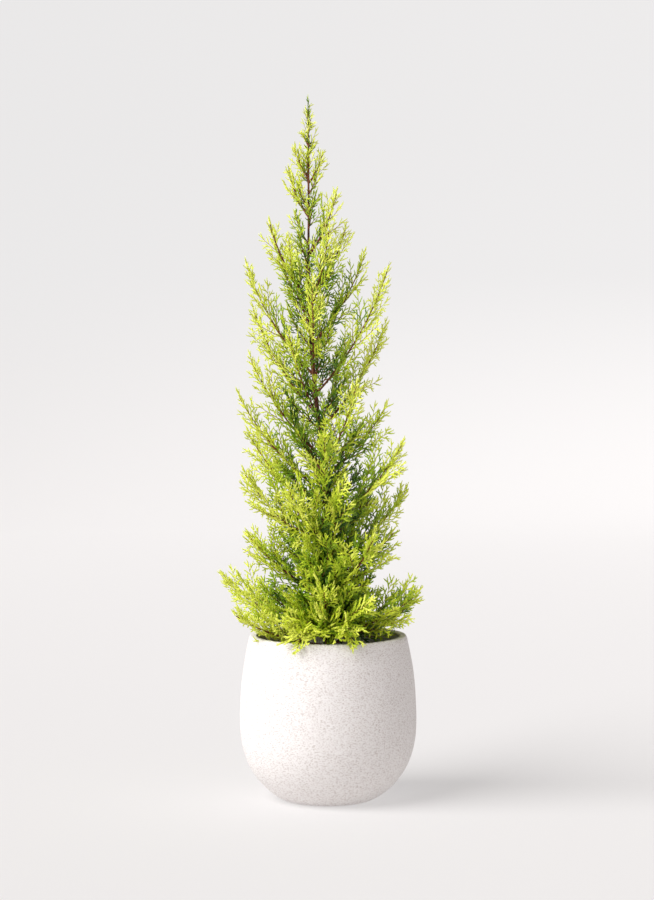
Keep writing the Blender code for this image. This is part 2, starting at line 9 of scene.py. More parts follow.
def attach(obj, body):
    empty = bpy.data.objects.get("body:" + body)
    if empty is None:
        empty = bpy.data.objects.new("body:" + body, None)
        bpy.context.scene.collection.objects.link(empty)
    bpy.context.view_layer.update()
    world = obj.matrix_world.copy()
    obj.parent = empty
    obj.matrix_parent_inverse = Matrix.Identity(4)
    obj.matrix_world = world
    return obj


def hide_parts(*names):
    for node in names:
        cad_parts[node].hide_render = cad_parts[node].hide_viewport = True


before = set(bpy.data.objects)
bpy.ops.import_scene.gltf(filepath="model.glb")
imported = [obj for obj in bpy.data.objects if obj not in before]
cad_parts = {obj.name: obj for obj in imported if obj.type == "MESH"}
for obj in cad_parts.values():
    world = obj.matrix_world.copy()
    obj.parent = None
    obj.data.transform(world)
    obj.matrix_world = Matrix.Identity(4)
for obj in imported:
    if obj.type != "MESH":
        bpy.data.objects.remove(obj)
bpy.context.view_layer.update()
foliageNodes = sorted(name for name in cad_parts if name.startswith("foliage_"))
boughNodes = sorted(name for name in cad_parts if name.startswith("bough_"))


def linear(hexColour):  # sRGB hex to linear
    parts = [int(hexColour[start:start + 2], 16) / 255 for start in (1, 3, 5)]
    return tuple(p / 12.92 if p <= 0.04045 else ((p + 0.055) / 1.055) ** 2.4 for p in parts) + (1.0,)


def scatter(*keys):  # a repeatable number from -1 to 1
    total = sum(key * weight for key, weight in zip(keys, (12.9898, 78.233, 37.719, 9.151)))
    value = math.sin(total) * 43758.5453
    return 2.0 * (value - math.floor(value)) - 1.0


def ease(value, start, end):
    share = min(max((value - start) / (end - start), 0.0), 1.0)
    return share * share * (3.0 - 2.0 * share)


def newMaterial(name, colour, roughness):
    material = bpy.data.materials.new(name)
    material.use_nodes = True
    shader = material.node_tree.nodes["Principled BSDF"]
    shader.inputs["Base Color"].default_value = linear(colour)
    shader.inputs["Roughness"].default_value = roughness
    return material, material.node_tree, shader


def addNode(tree, kind, settings, links):
    node = tree.nodes.new(kind)
    for name, value in settings.items():
        if name in node.inputs:
            node.inputs[name].default_value = value
        else:
            setattr(node, name, value)
    for name, socket in links.items():
        tree.links.new(socket, node.inputs[name])
    return node


def patterned(tree, shader, look):  # two colours by a noise of a real size, and the relief that goes with it
    place = addNode(tree, "ShaderNodeTexCoord", {}, {})
    drawn = addNode(tree, "ShaderNodeMapping", {"Scale": look["stretch"]}, {"Vector": place.outputs["Object"]})
    grain = addNode(tree, "ShaderNodeTexNoise", {"Scale": 1.0 / look["size"], "Detail": 3.0},
                    {"Vector": drawn.outputs["Vector"]})
    tint = addNode(tree, "ShaderNodeValToRGB", {}, {"Fac": grain.outputs["Fac"]})
    for element, at, colour in zip(tint.color_ramp.elements, look["ramp"], (look["low"], look["high"])):
        element.position = at
        element.color = linear(colour)
    tree.links.new(tint.outputs["Color"], shader.inputs["Base Color"])
    relief = addNode(tree, "ShaderNodeBump", {"Strength": 0.6, "Distance": look["relief"]},
                     {"Height": grain.outputs["Fac"]})
    tree.links.new(relief.outputs["Normal"], shader.inputs["Normal"])


def newPiece(name, vertices, faces, material, replaced, slot, smoothAngle=None):
    mesh = bpy.data.meshes.new(name)
    mesh.from_pydata(np.asarray(vertices, dtype=float).tolist(), [], [tuple(map(int, face)) for face in faces])
    mesh.materials.append(material)
    if smoothAngle:
        mesh.shade_smooth()
        mesh.set_sharp_from_angle(angle=math.radians(smoothAngle))
    piece = bpy.data.objects.new(name, mesh)
    bpy.context.scene.collection.objects.link(piece)
    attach(piece, "root")
    if replaced:
        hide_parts(*replaced)
    return piece


# Planter

planterShape = {
    "height": 0.288, "footRadius": 0.075, "bellyRadius": 0.1545, "bellyHeight": 0.146, "mouthRadius": 0.137,
    "wall": 0.0125, "floor": 0.016, "rimRound": 0.003, "swell": (2.6, 1.32),
    "segments": 260, "outerRows": (60, 38), "innerRows": (12, 30), "rimRows": 4,
    "pitSize": 0.0046, "pitFrom": 0.10, "pitDepth": 0.0011, "waveSize": 0.05, "waveDepth": 0.0005, "cleanFoot": 0.001,
}
# cast fibre stone, blasted with sand: chalky, with fine dark pits where the grit was blown out
stoneLook = {"size": 0.0034, "low": "#c8beba", "high": "#ebe7e5", "ramp": (0.32, 0.52), "relief": 0.0016,
             "stretch": (1.0, 1.0, 2.0)}


def swellingProfile(floor, foot, belly, mouth, rows):
    power, root = planterShape["swell"]
    bellyHeight, height = planterShape["bellyHeight"], planterShape["height"]
    points = []
    for row in range(rows[0] + 1):
        angle = math.radians(90.0 * row / rows[0])
        swell = (1.0 - math.cos(angle) ** power) ** (1.0 / root)
        points.append((foot + (belly - foot) * swell, floor + (bellyHeight - floor) * (1.0 - math.cos(angle))))
    for row in range(1, rows[1] + 1):
        share = row / rows[1]
        points.append((belly - (belly - mouth) * share * share, bellyHeight + (height - bellyHeight) * share))
    return points


def rimProfile():
    radius, rows = planterShape["rimRound"], planterShape["rimRows"]
    outer = planterShape["mouthRadius"] - radius
    inner = planterShape["mouthRadius"] - planterShape["wall"] + radius
    points = []
    for centre, first in ((outer, 0.0), (inner, 90.0)):
        for row in range(rows + 1):
            turn = math.radians(first + 90.0 * row / rows)
            height = planterShape["height"] - radius + radius * math.sin(turn)
            points.append((centre + radius * math.cos(turn), height))
    return points


def potRadius(height, wall):
    belly = planterShape["bellyRadius"] - wall
    above = planterShape["height"] - planterShape["bellyHeight"]
    share = np.clip(height - planterShape["bellyHeight"], 0.0, None) / above
    return belly - (belly - planterShape["mouthRadius"] + wall) * share * share


def turnedBody(profile, segments, relief):  # a closed body turned round Z, pushed along its normal by relief(point)
    rows = np.array(profile[1:-1])
    ahead = np.gradient(rows, axis=0)
    normals = np.stack([ahead[:, 1], -ahead[:, 0]], axis=1)
    normals /= np.linalg.norm(normals, axis=1)[:, None]
    vertices, faces = [], []
    for (radius, height), (outward, upward) in zip(rows, normals):
        for segment in range(segments):
            turn = math.tau * segment / segments
            x, y = math.cos(turn), math.sin(turn)
            push = relief(Vector((radius * x, radius * y, height)))
            vertices.append(((radius + push * outward) * x, (radius + push * outward) * y, height + push * upward))
    for row in range(len(rows) - 1):
        for segment in range(segments):
            after = (segment + 1) % segments
            low, high = row * segments, (row + 1) * segments
            faces.append((low + segment, low + after, high + after, high + segment))
    last = (len(rows) - 1) * segments
    first = len(vertices)
    vertices += [(0.0, 0.0, profile[0][1]), (0.0, 0.0, profile[-1][1])]
    for segment in range(segments):
        after = (segment + 1) % segments
        faces.append((first, after, segment))
        faces.append((first + 1, last + segment, last + after))
    return vertices, faces


def stoneRelief(point):
    if point.z < planterShape["cleanFoot"]:
        return 0.0
    pit = max(noise.noise(point / planterShape["pitSize"]) - planterShape["pitFrom"], 0.0)
    wave = noise.noise(point / planterShape["waveSize"])
    return planterShape["waveDepth"] * wave - planterShape["pitDepth"] * pit


def makePlanter():
    shape = planterShape
    outer = swellingProfile(0.0, shape["footRadius"], shape["bellyRadius"], shape["mouthRadius"], shape["outerRows"])
    inner = swellingProfile(shape["floor"], shape["footRadius"] - shape["wall"], shape["bellyRadius"] - shape["wall"],
                            shape["mouthRadius"] - shape["wall"], shape["innerRows"])
    profile = [(0.0, 0.0)] + outer[:-1] + rimProfile() + inner[-2::-1] + [(0.0, shape["floor"])]
    material, tree, shader = newMaterial("castFibreStoneSandblasted", stoneLook["high"], 0.9)
    patterned(tree, shader, stoneLook)
    return newPiece("planter", *turnedBody(profile, shape["segments"], stoneRelief), material,
                    ["pot"], "planter", 50)


makePlanter()
print("planter made")

# Potting mix

soilShape = {"height": 0.248, "edgeGap": 0.0004, "depth": 0.02, "edgeDrop": 0.004, "ringStep": 0.003,
             "segments": 160, "lumpSize": 0.014, "lump": 0.0032, "chips": 900, "chipSizes": (0.0015, 0.0045),
             "trunkClear": 0.02, "seed": 8}
# moist peat with bark chips: nearly black brown, crumbly and dull
soilLook = {"size": 0.005, "low": "#1d140f", "high": "#4a3527", "ramp": (0.38, 0.62), "relief": 0.002,
            "stretch": (1.0, 1.0, 1.0)}


def soilRelief(point):
    if point.z < soilShape["height"] - 0.001:
        return 0.0
    return soilShape["lump"] * noise.noise(point / soilShape["lumpSize"])


def chipMeshes(edge):  # small jittered icosahedra that lie half sunk in the mix
    draw = np.random.default_rng(soilShape["seed"])
    golden = (1.0 + math.sqrt(5.0)) / 2.0
    corners = [(0, sign, other * golden) for sign in (-1, 1) for other in (-1, 1)]
    corners = np.array([np.roll(corner, shift) for shift in range(3) for corner in corners]) / golden
    faces = []
    for a in range(12):
        for b in range(a + 1, 12):
            for c in range(b + 1, 12):
                trio = corners[[a, b, c]]
                sides = np.linalg.norm(trio - np.roll(trio, 1, axis=0), axis=1)
                if np.all(sides < 1.4):
                    turned = np.dot(np.cross(trio[1] - trio[0], trio[2] - trio[0]), trio.sum(axis=0)) > 0
                    faces.append((a, b, c) if turned else (a, c, b))
    count = soilShape["chips"]
    far = np.sqrt(draw.uniform((soilShape["trunkClear"] / edge) ** 2, 1.0, count)) * (edge - 0.004)
    turn = draw.uniform(0.0, math.tau, count)
    centres = np.stack([far * np.cos(turn), far * np.sin(turn),
                        np.full(count, soilShape["height"] + 0.0005)], axis=1)
    sizes = draw.uniform(*soilShape["chipSizes"], (count, 1, 3)) * (1.0, 0.8, 0.45)
    jitter = draw.uniform(0.75, 1.25, (count, 12, 1))
    vertices = centres[:, None] + corners[None] * jitter * sizes
    joined = np.array(faces)[None] + 12 * np.arange(count)[:, None, None]
    return vertices.reshape(-1, 3), joined.reshape(-1, 3)


def makeSoil():
    height = soilShape["height"]
    edge = float(potRadius(height, planterShape["wall"])) - soilShape["edgeGap"]
    rings = int(edge / soilShape["ringStep"])
    profile = [(0.0, height - soilShape["depth"]), (edge, height - soilShape["depth"]),
               (edge, height - soilShape["edgeDrop"])]
    profile += [(edge * (1.0 - ring / rings) - 0.001, height) for ring in range(rings)]
    profile = profile[:-1] + [(0.0, height)]
    vertices, faces = turnedBody(profile, soilShape["segments"], soilRelief)
    chips, chipFaces = chipMeshes(edge)
    faces = faces + [tuple(face) for face in (chipFaces + len(vertices))]
    material, tree, shader = newMaterial("moistPottingMix", soilLook["high"], 0.95)
    patterned(tree, shader, soilLook)
    return newPiece("pottingMix", list(vertices) + chips.tolist(), faces, material, ["potting_soil"], "soil", 60)


makeSoil()
print("potting mix made")

# Trunk

trunkShape = {"soil": 0.248, "top": 1.105, "baseX": 0.003, "lean": -0.037, "leanFrom": 0.40, "leanTo": 0.90,
              "sway": 0.004, "baseRadius": 0.0090, "topRadius": 0.0016, "taper": 1.6, "flare": 0.0055,
              "flareHeight": 0.012, "sunk": 0.004, "sides": 36, "ringStep": 0.003,
              "ridges": 2.4, "ridgeLength": 0.035, "relief": 0.16}
# cypress bark, split into long stringy strips as it grew: red brown with darker furrows
barkLook = {"size": 0.004, "low": "#2c150d", "high": "#70402a", "ramp": (0.36, 0.62), "relief": 0.0012,
            "stretch": (1.0, 1.0, 0.2)}
# young bough bark: smoother and more orange than the trunk
boughLook = {"size": 0.003, "low": "#481f10", "high": "#8c4a28", "ramp": (0.36, 0.62), "relief": 0.0005,
             "stretch": (1.0, 1.0, 1.0)}


def trunkPoint(height):
    x = trunkShape["baseX"] + trunkShape["lean"] * ease(height, trunkShape["leanFrom"], trunkShape["leanTo"])
    above = (height - trunkShape["soil"]) / (trunkShape["top"] - trunkShape["soil"])
    return Vector((x, trunkShape["sway"] * math.sin(math.tau * above), height))


def trunkRadius(height):
    share = min(max((height - trunkShape["soil"]) / (trunkShape["top"] - trunkShape["soil"]), 0.0), 1.0)
    spread = trunkShape["baseRadius"] - trunkShape["topRadius"]
    taper = trunkShape["topRadius"] + spread * (1.0 - share) ** trunkShape["taper"]
    flare = trunkShape["flare"] * math.exp(-max(height - trunkShape["soil"], 0.0) / trunkShape["flareHeight"])
    return taper + flare


def limbMesh(points, radii, sides, relief, ridgeLength, level=False):  # a tapering limb with ridged bark
    vertices, faces = [], [tuple(reversed(range(sides)))]
    side = Vector((1, 0, 0))
    for index, point in enumerate(points):
        ahead = points[min(index + 1, len(points) - 1)] - points[max(index - 1, 0)]
        ahead = Vector((0, 0, 1)) if level else ahead.normalized()
        if index == 0 and abs(ahead.x) > 0.7:
            side = Vector((0, 1, 0))
        side = (side - ahead * side.dot(ahead)).normalized()
        other = ahead.cross(side)
        for corner in range(sides):
            turn = math.tau * corner / sides
            across = math.cos(turn) * side + math.sin(turn) * other
            ridge = noise.noise(across * trunkShape["ridges"] + Vector((0, 0, index * ridgeLength)) + points[0] * 50)
            vertices.append(point + radii[index] * (1.0 + relief * ridge) * across)
    for ring in range(len(points) - 1):
        for corner in range(sides):
            after = (corner + 1) % sides
            low, high = ring * sides, (ring + 1) * sides
            faces.append((low + corner, low + after, high + after, high + corner))
    faces.append(tuple(range(len(vertices) - sides, len(vertices))))
    return vertices, faces


def makeTrunk():
    foot = trunkShape["soil"] - trunkShape["sunk"]
    count = round((trunkShape["top"] - foot) / trunkShape["ringStep"])
    heights = [foot + (trunkShape["top"] - foot) * ring / count for ring in range(count + 1)]
    vertices, faces = limbMesh([trunkPoint(height) for height in heights], [trunkRadius(height) for height in heights],
                               trunkShape["sides"], trunkShape["relief"],
                               trunkShape["ringStep"] / trunkShape["ridgeLength"], level=True)
    material, tree, shader = newMaterial("fissuredCypressBark", barkLook["high"], 0.85)
    patterned(tree, shader, barkLook)
    return newPiece("trunkBark", vertices, faces, material, ["trunk"], "trunk_bark", 60)


makeTrunk()
print("trunk made")

# Plumes: the same lines from the trunk out to the tips as the solids have

plumeRule = {
    "leftTips": ((0.167, 0.338), (0.195, 0.386), (0.146, 0.470), (0.150, 0.584), (0.147, 0.648), (0.161, 0.716),
                 (0.138, 0.782), (0.136, 0.866), (0.145, 0.942), (0.103, 1.012), (0.070, 1.105), (0.059, 1.140)),
    "rightTips": ((0.160, 0.342), (0.164, 0.374), (0.120, 0.474), (0.143, 0.545), (0.132, 0.634), (0.106, 0.695),
                  (0.105, 0.838), (0.106, 0.936), (0.066, 0.960), (0.033, 1.005), (0.016, 1.063), (-0.009, 1.130)),
    "outlineHeights": (0.340, 0.600, 0.800, 0.950, 1.050, 1.150),
    "outlineReaches": (0.158, 0.138, 0.122, 0.112, 0.058, 0.024),
    "roundTips": {"front": (0.385, 0.088, 8), "back": (0.345, 0.092, 8)}, "roundJitter": 0.08,
    "hangingTips": {"front": ((249.0, 0.157, 0.266), (286.0, 0.156, 0.274)),
                    "back": ((71.0, 0.154, 0.274), (112.0, 0.156, 0.270))},
    "hangingCrest": 0.383, "hangingBend": 0.6, "hangingFoot": (0.262, 0.004), "leaderTip": (-0.035, 0.0, 1.223),
    "directions": {"right": 0.0, "back": 90.0, "left": 180.0, "front": 270.0},
    "footShift": {"right": 0.006, "back": 0.010, "left": 0.002, "front": 0.014},
    "stagger": (0.0, 26.0, -26.0), "staggerJitter": 6.0, "liftLow": (0.340, 33.0), "liftHigh": (1.100, 66.0),
    "lowestFoot": 0.266, "footStep": 0.013, "curveDrop": 13.0, "curveBend": 0.52,
    "boughTipBelow": 0.480, "boughShare": 0.30, "bareFoot": ("left", 10),
    "axisStep": 0.004, "potClearance": 0.0035, "outlineTop": {"left": 0.040, "right": -0.030, "depth": 0.007},
    "outlineFoot": {"height": 0.300, "left": 0.126, "right": 0.130},
}
# short branches on the trunk between the plumes, which fill the crown inside the same outline
fillRule = {"from": 0.318, "to": 1.195, "step": 0.0165, "turn": 137.5, "reaches": (0.62, 0.42), "reachJitter": 0.14,
            "lowest": 0.285, "within": ((0.95, 0.80), (1.08, 1.0)), "finer": 3, "stemRadii": (0.0013, 0.0010, 0.0004),
            "sag": 0.12, "skirtStart": 0.25, "skirtCrest": 0.12,
            # direction, reach and height of short branches that hide the trunk's foot and the rim, as in the photo
            "skirt": ((246, 0.118, 0.322), (268, 0.146, 0.306), (290, 0.120, 0.320), (222, 0.100, 0.330),
                      (314, 0.104, 0.330), (260, 0.150, 0.301), (277, 0.150, 0.302), (268, 0.128, 0.372),
                      (300, 0.100, 0.366), (236, 0.104, 0.372), (256, 0.114, 0.415), (284, 0.112, 0.430),
                      (268, 0.108, 0.470), (254, 0.100, 0.512), (280, 0.100, 0.545), (266, 0.096, 0.590),
                      (70, 0.118, 0.322), (92, 0.130, 0.320), (113, 0.118, 0.324), (94, 0.112, 0.360))}


class Plume:
    def __init__(self, side, number, key, start, bend, tip):
        self.side, self.number, self.key = side, number, key
        self.start, self.bend, self.tip = start, bend, tip
        flat = Vector((tip.x - start.x, tip.y - start.y, 0.0))
        self.across = Vector((-flat.y, flat.x, 0.0)).normalized() if flat.length > 0.01 else Vector((0, 1, 0))
        line = [self.point(step / 24) for step in range(25)]
        self.length = sum((b - a).length for a, b in zip(line, line[1:]))
        low = tip.z < plumeRule["boughTipBelow"] and bend.z < tip.z
        self.hasBough = low or (side, number) == plumeRule["bareFoot"]
        self.lines = None

    def point(self, share):
        rest = 1.0 - share
        return rest * rest * self.start + 2.0 * rest * share * self.bend + share * share * self.tip

    def heading(self, share):
        return ((1.0 - share) * (self.bend - self.start) + share * (self.tip - self.bend)).normalized()


def liftShare(height):
    low, high = plumeRule["liftLow"][0], plumeRule["liftHigh"][0]
    return min(max((height - low) / (high - low), 0.0), 1.0)


def sidePlume(side, number, key, reach, height):
    rule = plumeRule
    turn = rule["stagger"][number % len(rule["stagger"])] + rule["staggerJitter"] * scatter(key, 1)
    direction = math.radians(rule["directions"][side] + turn)
    outward = Vector((math.cos(direction), math.sin(direction), 0.0))
    lift = rule["liftLow"][1] + (rule["liftHigh"][1] - rule["liftLow"][1]) * liftShare(height)
    lowest = rule["lowestFoot"] + rule["footShift"][side] + rule["footStep"] * (number - 1)
    foot = height - 0.1
    for _ in range(4):
        start = trunkPoint(foot)
        if side in ("left", "right"):
            sign = 1.0 if side == "right" else -1.0
            length = (reach - sign * start.x) / math.cos(math.radians(turn))
        else:
            length = reach
        foot = max(height - length * math.tan(math.radians(lift)), lowest)
    start = trunkPoint(foot)
    tip = start + outward * length
    tip.z = height
    base = math.atan2(height - foot, length) - math.radians(rule["curveDrop"])
    reachToBend = rule["curveBend"] * math.hypot(length, height - foot)
    bend = start + outward * math.cos(base) * reachToBend + Vector((0, 0, math.sin(base) * reachToBend))
    return Plume(side, number, key, start, bend, tip)


def hangingPlume(side, number, key, direction, reach, height):
    turn = math.radians(direction)
    outward = Vector((math.cos(turn), math.sin(turn), 0.0))
    foot, step = plumeRule["hangingFoot"]
    start = trunkPoint(foot + step * (number - 1))
    tip = Vector((outward.x * reach, outward.y * reach, height))
    bend = start.lerp(tip, plumeRule["hangingBend"])
    bend.z = plumeRule["hangingCrest"]
    return Plume(side, number, key, start, bend, tip)


def makePlumes():
    grown = []
    for side in ("left", "right"):
        for number, (reach, height) in enumerate(plumeRule[side + "Tips"], 1):
            grown.append(sidePlume(side, number, len(grown) + 1, reach, height))
    for side, (lowest, step, count) in plumeRule["roundTips"].items():
        hanging = plumeRule["hangingTips"][side]
        for number, (direction, reach, height) in enumerate(hanging, 1):
            grown.append(hangingPlume(side, number, len(grown) + 1, direction, reach, height))
        for index in range(count):
            height = lowest + step * index
            reach = float(np.interp(height, plumeRule["outlineHeights"], plumeRule["outlineReaches"]))
            reach *= 1.0 + plumeRule["roundJitter"] * scatter(len(grown) + 1, 2)
            grown.append(sidePlume(side, len(hanging) + index + 1, len(grown) + 1, reach, height))
    start = trunkPoint(trunkShape["top"])
    tip = Vector(plumeRule["leaderTip"])
    grown.append(Plume("leader", 1, len(grown) + 1, start, start.lerp(tip, 0.5), tip))
    return grown


def outline(heights):  # how far left, right and deep the crown reaches at each height
    tip = plumeRule["leaderTip"][2]
    top = plumeRule["outlineTop"]
    reaches = []
    for key in ("left", "right"):
        foot = plumeRule["outlineFoot"]
        tips = ((foot[key], foot["height"]),) + plumeRule[key + "Tips"] + ((top[key], tip),)
        reaches.append(np.interp(heights, [height for _, height in tips], [reach for reach, _ in tips]))
    depth = np.interp(heights, plumeRule["outlineHeights"] + (tip,), plumeRule["outlineReaches"] + (top["depth"],))
    return reaches[0], reaches[1], depth


def axisPoint(height):  # the trunk's line, and above it the leader's
    top = trunkPoint(trunkShape["top"])
    if height <= top.z:
        return trunkPoint(height)
    tip = Vector(plumeRule["leaderTip"])
    return top.lerp(tip, (height - top.z) / (tip.z - top.z))


def makeFillers(firstKey):
    rule = fillRule
    grown = []
    count = int((rule["to"] - rule["from"]) / rule["step"]) + 1
    for index in range(count):
        key = firstKey + index
        height = rule["from"] + rule["step"] * index
        turn = math.radians(rule["turn"] * index)
        outward = Vector((math.cos(turn), math.sin(turn), 0.0))
        left, right, depth = (float(value) for value in outline(height))
        centre = axisPoint(height)
        wide = right - centre.x if outward.x > 0.0 else left + centre.x
        reach = 1.0 / math.hypot(outward.x / wide, outward.y / depth)
        reach *= float(np.interp(height, (rule["from"], rule["to"]), rule["reaches"]))
        reach *= 1.0 + rule["reachJitter"] * scatter(key, 1)
        lift = plumeRule["liftLow"][1] + (plumeRule["liftHigh"][1] - plumeRule["liftLow"][1]) * liftShare(height)
        foot = max(height - reach * math.tan(math.radians(lift)), rule["lowest"])
        start = axisPoint(foot)
        tip = axisPoint(height) + outward * reach
        tip.z = height
        bend = start.lerp(tip, plumeRule["curveBend"])
        bend.z -= rule["sag"] * (tip - start).length
        grown.append(Plume("fill", index + 1, key, start, bend, tip))
    for index, (direction, reach, height) in enumerate(rule["skirt"], count):
        turn = math.radians(direction)
        start = trunkPoint(rule["lowest"] + rule["skirtStart"] * (height - rule["lowest"]))
        tip = Vector((reach * math.cos(turn), reach * math.sin(turn), height))
        bend = start.lerp(tip, plumeRule["curveBend"]) + Vector((0, 0, rule["skirtCrest"] * reach))
        grown.append(Plume("skirt", index + 1, firstKey + index, start, bend, tip))
    return grown


def treeOf(points):
    tree = KDTree(len(points))
    for index, point in enumerate(points):
        tree.insert(point, index)
    tree.balance()
    return tree


plumes = makePlumes()
axisPoints = []
for plume in plumes:
    steps = max(int(plume.length / plumeRule["axisStep"]), 8)
    own = [plume.point(step / steps) for step in range(steps + 1)]
    plume.lines = treeOf(own)
    axisPoints += own
allLines = treeOf(axisPoints)
fillers = makeFillers(len(plumes) + 1)


def inside(points, slack):  # which points lie in the outline that runs from tip to tip, and clear of the planter
    x, y, z = np.asarray(points, dtype=float).reshape(-1, 3).T
    left, right, depth = outline(z)
    clearance = plumeRule["potClearance"]
    radius = np.hypot(x, y)
    above = z > planterShape["height"] + clearance
    inPot = (radius < potRadius(z, planterShape["wall"]) - clearance) & (z > soilShape["height"] + clearance)
    outPot = radius > potRadius(z, 0.0) + clearance
    inCrown = (x > -left - slack) & (x < right + slack) & (np.abs(y) < depth + slack)
    return inCrown & (z < plumeRule["leaderTip"][2] + slack) & (above | inPot | outPot)


# Boughs and stems

stemShape = {"boughRadii": (0.0031, 0.0021, 0.0007), "stemRadii": (0.0021, 0.0016, 0.0005), "to": 0.94,
             "step": 0.006, "sides": 8, "relief": 0.22, "ridgeLength": 0.3, "most": 0.85, "grow": 0.4}


def makeBoughs():
    vertices, faces = [], []
    for plume in plumes + fillers:
        radii = stemShape["boughRadii" if plume.hasBough else "stemRadii"]
        radii = fillRule["stemRadii"] if plume.side in ("fill", "skirt") else radii
        count = max(int(plume.length / stemShape["step"]), 8)
        shares = [stemShape["to"] * ring / count for ring in range(count + 1)]
        widths = [float(np.interp(share, (0.0, plumeRule["boughShare"], stemShape["to"]), radii)) for share in shares]
        widths = [min(width, stemShape["most"] * trunkRadius(plume.start.z) + stemShape["grow"] * share * plume.length)
                  for width, share in zip(widths, shares)]
        limb, limbFaces = limbMesh([plume.point(share) for share in shares], widths, stemShape["sides"],
                                   stemShape["relief"], stemShape["ridgeLength"])
        faces += [tuple(corner + len(vertices) for corner in face) for face in limbFaces]
        vertices += limb
    material, tree, shader = newMaterial("smoothBoughBark", boughLook["high"], 0.75)
    patterned(tree, shader, boughLook)
    return newPiece("boughsAndStems", vertices, faces, material, boughNodes, "bough_bark", 70)


makeBoughs()
print("boughs made")

# Twigs

twigRule = {"spacings": (0.032, 0.049), "from": 0.18, "afterBough": 0.02, "to": 0.88, "leastShare": 0.10,
            "roll": 137.5, "rollStart": 40.0, "flatten": 0.7, "open": 34.0, "openJitter": 7.0, "rise": 0.14,
            "longest": 0.092, "shortest": 0.018, "share": 0.66, "jitter": 0.12,
            "sizes": (1.1, 1.0, 0.9, 0.8, 0.7, 0.6, 0.5, 0.4), "turns": (0.0, 50.0, -50.0, 90.0),
            "turnJitter": 25.0, "lastSpray": 0.052, "lastShare": 0.36, "finer": 4, "finerRoll": 97.0,
            "finerReach": 0.80, 
            "spans": ((0.34, 0.60, 0.76, 0.98, 1.10, 1.20), (1.0, 0.94, 0.68, 0.74, 1.0, 0.55)), "bend": 0.10,
            "sprayWidth": 0.56, "sharedSpace": 0.003, "slack": 0.005,
            "radius": 0.0008, "rodShares": ((0.0, 1.0), (0.35, 0.8), (0.7, 0.5), (0.96, 0.3)), "innerBelow": 0.62,
            "fullSpan": 0.06, "widths": (0.6, 1.2)}


def twigFrame(plume, index, between, share, turn):
    rule = twigRule
    number = index + between / rule["finer"]
    stem = plume.heading(share)
    lift = plume.across.cross(stem)
    roll = math.radians(rule["roll"] * index + rule["finerRoll"] * between + rule["rollStart"] * scatter(plume.key, 3))
    radial = (math.cos(roll) * plume.across + rule["flatten"] * math.sin(roll) * lift).normalized()
    opened = math.radians(rule["open"] + rule["openJitter"] * scatter(plume.key, number, 4))
    heading = math.cos(opened) * stem + math.sin(opened) * radial + Vector((0, 0, rule["rise"]))
    heading.normalize()
    span = min(rule["longest"], rule["share"] * (1.0 - share) * plume.length + rule["shortest"])
    span *= 1.0 + rule["jitter"] * scatter(plume.key, number, 5)
    span *= (rule["finerReach"] if between else 1.0) * float(np.interp(plume.tip.z, *rule["spans"]))
    lateral = (stem - heading * stem.dot(heading)).normalized()
    angle = math.radians(turn + rule["turnJitter"] * scatter(plume.key, number, 6))
    return heading, lateral * math.cos(angle) + heading.cross(lateral) * math.sin(angle), span


def keepsToSpace(plume, points):
    if plume.side == "skirt" or not np.all(inside(points, twigRule["slack"])):
        return bool(np.all(inside(points, 0.0)))
    if plume.side == "fill":
        centres = [axisPoint(point.z) for point in points]
        (low, least), (high, most) = fillRule["within"]
        shares = [float(np.interp(point.z, (low, high), (least, most))) for point in points]
        spread = [centre + (point - centre) / share for centre, point, share in zip(centres, points, shares)]
        return bool(np.all(inside(spread, 0.0)))
    return all(plume.lines.find(point)[2] < allLines.find(point)[2] + twigRule["sharedSpace"] for point in points)


def growTwigs():
    rule = twigRule
    grown = []
    for plume in plumes + fillers:
        begin = plumeRule["boughShare"] + rule["afterBough"] if plume.hasBough else rule["from"]
        low, high = rule["spacings"]
        spacing = low + (high - low) * liftShare(plume.tip.z)
        finer = fillRule["finer"] if plume.side in ("fill", "skirt") else rule["finer"]
        count = max(round((rule["to"] - begin) * plume.length / spacing), 2)
        for step in range(-finer, count * finer):
            index, between = divmod(step, finer)
            share = begin + (rule["to"] - begin) * step / finer / count
            if share < rule["leastShare"]:
                continue
            root = plume.point(share)
            tries = ((size, turn) for size in rule["sizes"] for turn in rule["turns"])
            for size, turn in tries:
                heading, lateral, reach = twigFrame(plume, index, between, share, turn)
                span = reach * size
                middle = root + heading * span * 0.5
                wide = lateral * span * rule["sprayWidth"] * 0.5
                rise = Vector((0, 0, rule["bend"] * span))
                if keepsToSpace(plume, (root + heading * span + rise, middle + wide, middle - wide)):
                    grown.append((plume, share, root, heading, lateral, span))
                    break
        last = 1.0 - min(rule["lastSpray"] / plume.length, rule["lastShare"])
        root = plume.point(last)
        ahead = plume.tip - root
        grown.append((plume, last, root, ahead.normalized(), plume.across, ahead.length))
    return grown


def placePattern(rows, faces, roots, heads, lengths, widths, bend):  # one small shape, set down many times
    share, ahead, side, other = rows.T
    reference = np.where(np.abs(heads[:, 2:3]) > 0.9, (1.0, 0.0, 0.0), (0.0, 0.0, 1.0))
    sides = np.cross(reference, heads)
    sides /= np.linalg.norm(sides, axis=1)[:, None]
    others = np.cross(heads, sides)
    ahead, side, other = (part[None] * widths[:, None] for part in (ahead, side, other))
    vertices = (roots[:, None] + heads[:, None] * (share * lengths[:, None] + ahead)[..., None]
                + sides[:, None] * side[..., None] + others[:, None] * other[..., None])
    vertices[..., 2] += bend * share ** 2 * lengths[:, None]
    joined = faces[None] + len(rows) * np.arange(len(roots))[:, None, None]
    return vertices.reshape(-1, 3), joined.reshape(-1, 3)


